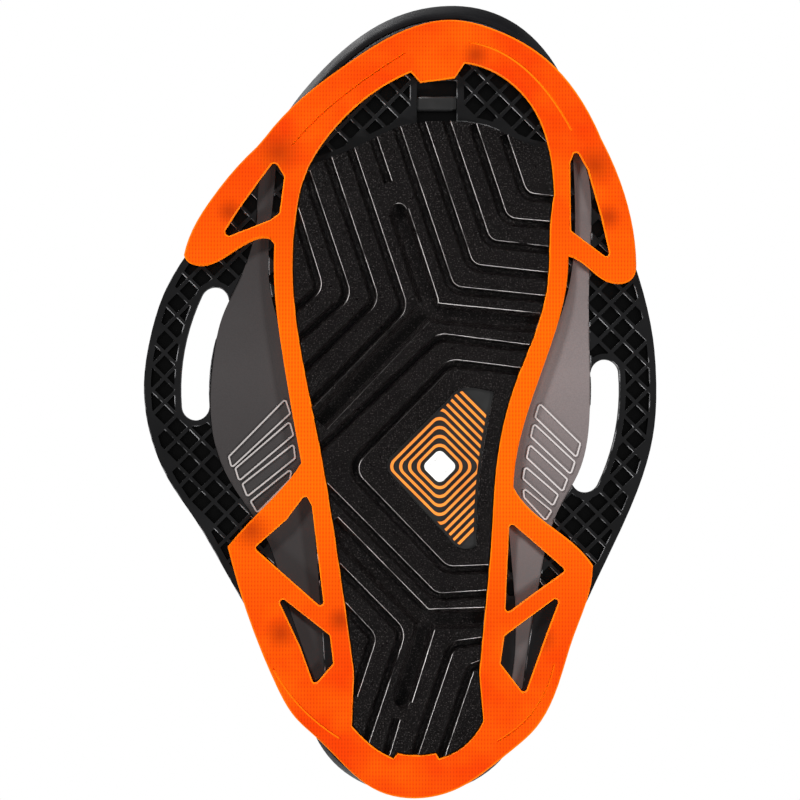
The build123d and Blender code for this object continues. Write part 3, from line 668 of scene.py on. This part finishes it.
# ---- overlay panels ----
PANEL_FRONT = -99.5 * MM
PANEL_BACK = 99.5 * MM
PANEL_LOW = 23.3 * MM
PANEL_THICK = 1.1 * MM
PANEL_EDGE = 0.35 * MM
PANEL_HEIGHT_FRONT = 49.5 * MM
PANEL_HEIGHT_BACK = 84 * MM
PANEL_STITCH_FRONT = PANEL_FRONT + 8 * MM
PANEL_STITCH_BACK = PANEL_BACK - 2 * MM
PANEL_ROWS = 18
PANEL_COLUMNS = 80
PANEL_STITCH_PLACES = 120
PANEL_STITCH_DROPS = (("panel_stitch_", 2.4 * MM), ("panel_stitch_twin_", 5.0 * MM))


def side_cast(side, y, z):
    """Outer face of the shell met from straight out to one side."""
    return first_hit(SHELL, Vector((side * FAR, y, z)), Vector((-side, 0, 0)))


def panel_top(y):
    """Upper edge of the side panel: from the toe bumper's height up to the heel counter's."""
    rise = PANEL_HEIGHT_BACK - PANEL_HEIGHT_FRONT
    return PANEL_HEIGHT_FRONT + rise * blend_value(y, PANEL_FRONT, PANEL_BACK)


def add_panel(side, name):
    """Overlay along one side of the foot, between the toe bumper and the heel counter."""
    points = []
    for row in range(PANEL_ROWS):
        for column in range(PANEL_COLUMNS):
            y = PANEL_FRONT + (PANEL_BACK - PANEL_FRONT) * column / (PANEL_COLUMNS - 1)
            z = PANEL_LOW + (panel_top(y) - PANEL_LOW) * row / (PANEL_ROWS - 1)
            hit, normal = side_cast(side, y, z)
            points.append(hit + normal * SKIN_LIFT)
    piece = new_piece(name, points, grid_faces(PANEL_ROWS, PANEL_COLUMNS), PANEL)
    thicken(piece, PANEL_THICK, offset=-side, edge=PANEL_EDGE)


def panel_row(side, drop):
    """Places along the panel's outer face, a little below its upper edge."""
    length = PANEL_STITCH_BACK - PANEL_STITCH_FRONT
    row = []
    for step in range(PANEL_STITCH_PLACES):
        y = PANEL_STITCH_FRONT + length * step / (PANEL_STITCH_PLACES - 1)
        hit, normal = side_cast(side, y, panel_top(y) - drop)
        row.append((hit + normal * (PANEL_THICK + SKIN_LIFT), normal))
    return row


STITCH_PITCH = 3.4 * MM
STITCH_LENGTH = 2.3 * MM
STITCH_WIDTH = 0.75 * MM
STITCH_HEIGHT = 0.45 * MM
# place along the stitch from -1 to 1, and share of the full width
STITCH_RINGS = ((-1.0, 0.25), (-0.6, 0.9), (0.0, 1.0), (0.6, 0.9), (1.0, 0.25))
STITCH_SIDES = 6
LONGEST_GAP = 5 * MM


def stitch_row(name, places, material, body="chassis"):
    """Separate raised stitches along a row of (point, normal) places, with none across a wide gap."""
    points = []
    faces = []
    length = 0.0
    due = STITCH_PITCH / 2
    for (start, normal), (end, _) in zip(places, places[1:]):
        step = (end - start).length
        if step > LONGEST_GAP:
            continue
        while step > 0 and due <= length + step:
            middle = start.lerp(end, (due - length) / step)
            add_stitch(points, faces, middle, (end - start).normalized(), normal)
            due += STITCH_PITCH
        length += step
    new_piece(name, points, faces, material, body)


def add_stitch(points, faces, middle, along, normal):
    """One short rounded thread lying on the surface."""
    across = normal.cross(along).normalized()
    first = len(points)
    for place, size in STITCH_RINGS:
        for side in range(STITCH_SIDES):
            turn = 2 * math.pi * side / STITCH_SIDES
            points.append(middle + along * (place * STITCH_LENGTH / 2)
                          + across * (math.cos(turn) * size * STITCH_WIDTH / 2)
                          + normal * (math.sin(turn) * size * STITCH_HEIGHT))
    rings = len(STITCH_RINGS)
    for ring in range(rings - 1):
        for side in range(STITCH_SIDES):
            right = (side + 1) % STITCH_SIDES
            near = first + ring * STITCH_SIDES
            far = near + STITCH_SIDES
            faces.append((near + side, near + right, far + right, far + side))
    faces.append(tuple(first + side for side in reversed(range(STITCH_SIDES))))
    faces.append(tuple(first + (rings - 1) * STITCH_SIDES + side for side in range(STITCH_SIDES)))


def add_panels():
    """Both side panels with twin rows of stitches below their upper edges."""
    for side, name in SIDES:
        add_panel(side, "side_panel_" + name)
        for prefix, drop in PANEL_STITCH_DROPS:
            stitch_row(prefix + name, panel_row(side, drop), THREAD_DARK)


# ---- seams of the shaft and of the throat facing ----
# bearings, twin spacing and swing in degrees
SEAM_BEARINGS = (("lateral", 152), ("medial", 28))
SEAM_TWIN = 3.4
SEAM_SWING = 8
SEAM_TURN = 2.4
SEAM_LOW = 90 * MM
SEAM_RISE = 104 * MM
SEAM_PLACES = 90
FACING_LOW = 90 * MM
FACING_RISE = 112 * MM
FACING_LINES = (21.5 * MM, 29.0 * MM)
FACING_SPREAD = 0.052
FACING_PLACES = 110


def seam_row(start):
    """Places up the shaft on a gently curved line that starts at a bearing."""
    row = []
    for step in range(SEAM_PLACES):
        share = step / (SEAM_PLACES - 1)
        bearing = start + SEAM_SWING * math.sin(SEAM_TURN * share)
        hit, normal = cast(SKIN, bearing, SEAM_LOW + SEAM_RISE * share)
        row.append((hit + normal * SKIN_LIFT, normal))
    return row


def add_shaft_seams():
    """Twin stitched seams up both sides of the shaft."""
    for side, bearing in SEAM_BEARINGS:
        for index in (0, 1):
            row = seam_row(bearing + SEAM_TWIN * index)
            stitch_row(f"shaft_seam_{side}_{index + 1}", row, THREAD_ORANGE)


def facing_row(tree, side, away):
    """Places up one side of the throat facing, a distance away from its middle line."""
    row = []
    for step in range(FACING_PLACES):
        rise = FACING_RISE * step / (FACING_PLACES - 1)
        x = THROAT_X + side * (away + FACING_SPREAD * rise)
        hit, normal = front_cast(tree, x, FACING_LOW + rise)
        if hit is not None:
            row.append((hit + normal * SKIN_LIFT, normal))
    return row


def add_facing_stitches():
    """Stitches along both edges of the throat facing."""
    tree = tree_of("throat_facing")
    for side, name in SIDES:
        for index, away in enumerate(FACING_LINES):
            stitch_row(f"facing_stitch_{name}_{index + 1}", facing_row(tree, side, away), THREAD_DARK)


# ---- the collar's bound edge ----
COLLAR_SEARCH_HIGH = 235 * MM
COLLAR_SEARCH_LOW = 190 * MM
COLLAR_SEARCH_STEP = 0.4 * MM
NEAR_SIDE = 20 * MM
BAND_TOP = 0.8 * MM
BAND_BOTTOM = 10 * MM
BAND_ROWS = 5
BAND_THICK = 0.9 * MM
BAND_EDGE = 0.3 * MM
PIPING_RADIUS = 1.0 * MM
PIPING_LIFT = 0.5 * MM
BAND_STITCH_DROP = 7.6 * MM


def collar_edge(bearing):
    """Height of the shell's collar at a bearing, found from above."""
    outward = outward_at(bearing)
    z = COLLAR_SEARCH_HIGH
    while z > COLLAR_SEARCH_LOW:
        hit, _ = first_hit(SHELL, axis_point(z) + outward * FAR, -outward)
        if hit is not None and (hit - axis_point(z)).dot(outward) > NEAR_SIDE:
            return z
        z -= COLLAR_SEARCH_STEP
    return z


# from one side of the tongue round the back to the other, every 2 degrees
COLLAR_BEARINGS = [-50 + 2 * step for step in range(141)]
COLLAR_EDGES = [collar_edge(bearing) for bearing in COLLAR_BEARINGS]


def collar_row(drop, lift):
    """Places around the collar, a drop below its edge and a lift off the shell."""
    row = []
    for bearing, edge in zip(COLLAR_BEARINGS, COLLAR_EDGES):
        hit, normal = cast(SHELL, bearing, edge - drop)
        row.append((hit + normal * lift, normal))
    return row


def add_collar_trim():
    """Bound edge of the shell's collar: a band, a piping and a row of stitches."""
    top_row = collar_row(BAND_TOP, SKIN_LIFT)
    low_row = collar_row(BAND_BOTTOM, SKIN_LIFT)
    points = []
    for step in range(BAND_ROWS):
        for (top, _), (bottom, _) in zip(top_row, low_row):
            points.append(top.lerp(bottom, step / (BAND_ROWS - 1)))
    band = new_piece("collar_binding", points, grid_faces(BAND_ROWS, len(top_row)), PANEL)
    thicken(band, -BAND_THICK, edge=BAND_EDGE)
    stitch_row("collar_stitch", collar_row(BAND_STITCH_DROP, BAND_THICK + 0.1 * MM), THREAD_DARK)
    piping = [point for point, _ in collar_row(BAND_TOP, PIPING_LIFT)]
    tube("collar_piping", piping, PIPING_RADIUS, MATERIALS["pull_loop"])


def tube(name, route, radius, material):
    """Round bead along a route, fixed to the boot."""
    curve = bpy.data.curves.new(name, "CURVE")
    curve.dimensions = "3D"
    curve.bevel_depth = radius
    curve.bevel_resolution = 4
    curve.use_fill_caps = True
    spline = curve.splines.new("POLY")
    spline.points.add(len(route) - 1)
    for point, place in zip(spline.points, route):
        point.co = (*place, 1)
    curve.materials.append(material)
    piece = bpy.data.objects.new(name, curve)
    scene.collection.objects.link(piece)
    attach(piece, "chassis")


# ---- liner: padded sock whose rolled top shows above the collar ----
LINER_RISE = 8 * MM
LINER_WALL = 9 * MM
LINER_TOP = 221 * MM
LINER_LIP = 10 * MM
LINER_FLOOR = 20 * MM
LINER_AROUND = 120
LINER_RINGS = 25
LINER_STEP = 6.6 * MM
QUILT_PITCH = 26 * MM
QUILT_DEPTH = 0.9 * MM
QUILT_SHIFT = 1.2 * MM
PUCKERS = 22
PUCKER_DEPTH = 0.2 * MM
PUFF = 1.6 * MM
TONGUE_SIDE = (24, 44)
LINER_SEARCH_Z = COLLAR_Z - 8 * MM


def liner_profile():
    """Rows of share of the wall from outside to inside, height above the rim, and outward bulge."""
    profile = [(0.0, -16 * MM, 0.0), (0.0, -8 * MM, 0.0), (0.0, -2 * MM, 0.0), (-0.12, 1.5 * MM, 1.0)]
    for step in range(1, 8):
        turn = math.pi * step / 8
        profile.append((0.5 - 0.62 * math.cos(turn), 2.5 * MM + (LINER_RISE - 2 * MM) * math.sin(turn), 1.0))
    profile += [(1.1, -2 * MM, 0.0), (1.0, -10 * MM, 0.0)]
    return profile


def liner_rim(bearing, top):
    """Points over the rolled top of the liner at one bearing, from outside to inside."""
    outward = outward_at(bearing)
    from_front = abs((bearing + 90 + 180) % 360 - 180)
    off_tongue = blend_value(from_front, *TONGUE_SIDE)
    points = []
    for share, rise, bulge in liner_profile():
        at, _ = cast(LINER, bearing, min(top + min(rise, 0.0), LINER_TOP))
        puff = bulge * off_tongue * PUFF
        pucker = PUCKER_DEPTH * math.cos(math.radians(bearing) * PUCKERS) if bulge else 0.0
        point = at + outward * (puff + pucker - share * LINER_WALL)
        point.z = top + rise
        points.append(point)
    return points


def liner_wall(bearing, top):
    """Points down the quilted inner wall of the liner at one bearing."""
    outward = outward_at(bearing)
    points = []
    for depth in range(1, LINER_RINGS + 1):
        z = max(top - LINER_LIP - depth * LINER_STEP, LINER_FLOOR)
        at, _ = cast(LINER, bearing, z)
        quilt = QUILT_DEPTH * abs(math.sin(math.pi * (top - z) / QUILT_PITCH))
        point = at - outward * (LINER_WALL + quilt - QUILT_SHIFT)
        point.z = z
        points.append(point)
    return points


def add_liner():
    """Padded sock in place of the CAD liner, open at the top."""
    columns = []
    for column in range(LINER_AROUND):
        bearing = -90 + 360 * column / LINER_AROUND
        hit, _ = cast(LINER, bearing, LINER_SEARCH_Z)
        top = collar_height(hit.y)
        columns.append(liner_rim(bearing, top) + liner_wall(bearing, top))
    rows = len(columns[0])
    points = [column[row] for row in range(rows) for column in columns]
    faces = grid_faces(rows, LINER_AROUND, closed=True)
    piece = new_piece("padded_liner", points, faces, MATERIALS["liner"])
    add_smoothing(piece, 1)
    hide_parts("liner")


# ---- footbed ----
FOOTBED_AROUND = 72
FOOTBED_ROWS = 10
FOOTBED_EDGE_RISE = 1.6 * MM
FOOTBED_SINK = 1.2 * MM
FOOTBED_THICK = 3 * MM


def add_footbed():
    """Foam cover whose edge turns up a little all round."""
    low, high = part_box("footbed")
    centre = Vector((AXIS_X, 0, 0))
    points = []
    for row in range(FOOTBED_ROWS):
        share = 1 - row / (FOOTBED_ROWS - 1) * 0.97
        for column in range(FOOTBED_AROUND):
            hit, _ = cast(FOOTBED, 360 * column / FOOTBED_AROUND, (low[2] + high[2]) / 2)
            place = centre.lerp(Vector((hit.x, hit.y, 0)), share)
            z = high[2] - FOOTBED_SINK + FOOTBED_EDGE_RISE * share ** 6
            points.append(Vector((place.x, place.y, z)))
    faces = grid_faces(FOOTBED_ROWS, FOOTBED_AROUND, closed=True)
    piece = new_piece("footbed_cover", points, faces, MATERIALS["footbed"])
    thicken(piece, FOOTBED_THICK)
    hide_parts("footbed")


# ---- tongue ----
TONGUE_LOW = 76 * MM
TONGUE_HIGH = 231 * MM
TONGUE_ROUND_FROM = 219 * MM
TONGUE_ROUND_LENGTH = 12.2 * MM
TONGUE_ROWS = 90
TONGUE_COLUMNS = 29
TONGUE_CLEARANCE = 0.8 * MM
TONGUE_SINK = 0.9 * MM
TONGUE_THICK = 3 * MM
CROWN_LOW = 0.5 * MM
CROWN_FREE = 2.3 * MM
CHANNEL_PITCH = 15
CHANNEL_PHASE = 6
CHANNEL_HALF_WIDTH = 1.1
# heights in mm between which a strap lies over the tongue
UNDER_STRAPS = ((92, 130), (164, 208))


def tongue_half(z):
    """Half width of the tongue opening at height z."""
    low, knee, high = 74 * MM, 90 * MM, 260 * MM
    if z < knee:
        return (10.5 + 6.6 * (z - low) / (knee - low)) * MM
    return (17.1 + 8.9 * (z - knee) / (high - knee)) * MM


def free_of_straps(z):
    """1 where nothing lies over the tongue, 0 under a strap."""
    free = 1.0
    for low, high in UNDER_STRAPS:
        middle, half = (low + high) / 2 * MM, (high - low) / 2 * MM
        free = min(free, blend_value(abs(z - middle), half, half + 7 * MM))
    return free


def tongue_crown(z, across):
    """How far the padding stands off the CAD tongue; across runs from -1 to 1."""
    crown = (1 - across ** 4) * (CROWN_LOW + CROWN_FREE * free_of_straps(z))
    from_channel = (z / MM + CHANNEL_PHASE) % CHANNEL_PITCH - CHANNEL_PITCH / 2
    channel = 1 - 0.75 * math.exp(-(from_channel / CHANNEL_HALF_WIDTH) ** 2)
    return crown * channel


def add_tongue():
    """Padded tongue with a rounded top and sewn cross channels."""
    points = []
    for row in range(TONGUE_ROWS):
        z = TONGUE_LOW + (TONGUE_HIGH - TONGUE_LOW) * row / (TONGUE_ROWS - 1)
        past = max(0.0, (z - TONGUE_ROUND_FROM) / TONGUE_ROUND_LENGTH)
        round_top = math.sqrt(max(0.0, 1 - past ** 2))
        half = (tongue_half(z) - TONGUE_CLEARANCE) * (0.35 + 0.65 * round_top)
        for column in range(TONGUE_COLUMNS):
            across = -1 + 2 * column / (TONGUE_COLUMNS - 1)
            hit, normal = front_cast(SKIN, THROAT_X + across * half, z)
            point = hit + normal * (tongue_crown(z, across) - TONGUE_SINK)
            point.z = z
            points.append(point)
    faces = grid_faces(TONGUE_ROWS, TONGUE_COLUMNS)
    piece = new_piece("padded_tongue", points, faces, MATERIALS["tongue"])
    thicken(piece, -TONGUE_THICK)
    add_smoothing(piece, 1)
    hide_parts("tongue")


# ---- straps: stitching along both edges and across the free end ----
STITCH_INSET = 13.4 * MM
STRAP_PLACES = 100
STRAP_END_PLACES = 25
STRAP_NEAR_SIDE = 10 * MM
LAST_BEARING = 340
END_MARGIN = 3
# strap, joint, tilt of the strap and first stitched bearing in degrees
STRAPS = (("cuff_strap", "cuff_strap_peel", 8, 188), ("instep_strap", "instep_strap_peel", 40, 190))


def strap_cast(tree, pin, tilt, offset, bearing):
    """Outer face of a strap, met in the plane of its length at an offset across its width."""
    turn = math.radians(bearing)
    lean = math.radians(tilt)
    across = Vector((0, math.sin(lean), math.cos(lean)))
    outward = Vector((math.cos(turn), math.sin(turn) * math.cos(lean), -math.sin(turn) * math.sin(lean)))
    middle = Vector((AXIS_X, pin[1], pin[2])) + across * offset
    hit, normal = first_hit(tree, middle + outward * FAR, -outward)
    if hit is not None and (hit - middle).dot(outward) < STRAP_NEAR_SIDE:
        return None, None
    return hit, normal


def strap_end(tree, pin, tilt, first):
    """Last bearing at which both edges and the middle of a strap are there, a little short of its end."""
    whole = [bearing for bearing in range(first, LAST_BEARING)
             if all(strap_cast(tree, pin, tilt, offset, bearing)[0] is not None
                    for offset in (-STITCH_INSET, 0, STITCH_INSET))]
    return max(whole) - END_MARGIN


def strap_row(tree, pin, tilt, places):
    """Places on a strap's outer face from (offset, bearing) pairs that meet it."""
    row = []
    for offset, bearing in places:
        hit, normal = strap_cast(tree, pin, tilt, offset, bearing)
        if hit is not None:
            row.append((hit + normal * SKIN_LIFT, normal))
    return row


def stitch_strap(name, joint, tilt, first):
    """Stitches along both edges of a strap and across its free end."""
    tree = tree_of(name)
    pin = joint_place(joint)
    last = strap_end(tree, pin, tilt, first)
    body = name + "_body"
    for index, offset in enumerate((-STITCH_INSET, STITCH_INSET)):
        shares = [step / (STRAP_PLACES - 1) for step in range(STRAP_PLACES)]
        places = [(offset, first + (last - first) * share) for share in shares]
        stitch_row(f"{name}_stitch_{index + 1}", strap_row(tree, pin, tilt, places), THREAD_ORANGE, body)
    half = (STRAP_END_PLACES - 1) / 2
    places = [(STITCH_INSET * (step / half - 1), last) for step in range(STRAP_END_PLACES)]
    stitch_row(name + "_stitch_end", strap_row(tree, pin, tilt, places), THREAD_ORANGE, body)


def joint_place(name):
    """Where a joint's axis lies at rest."""
    for joint in frame["joints"]:
        if joint["name"] == name:
            return joint["pos_m"]
    raise KeyError(name)


def add_strap_details():
    """Stitching on every strap, riding on the strap's own body."""
    for strap in STRAPS:
        stitch_strap(*strap)


add_camera()
add_lights()
add_world()
set_tones()
add_floor()
dress_cad_nodes()
add_panels()
add_shaft_seams()
add_facing_stitches()
add_collar_trim()
add_liner()
add_footbed()
add_tongue()
add_strap_details()
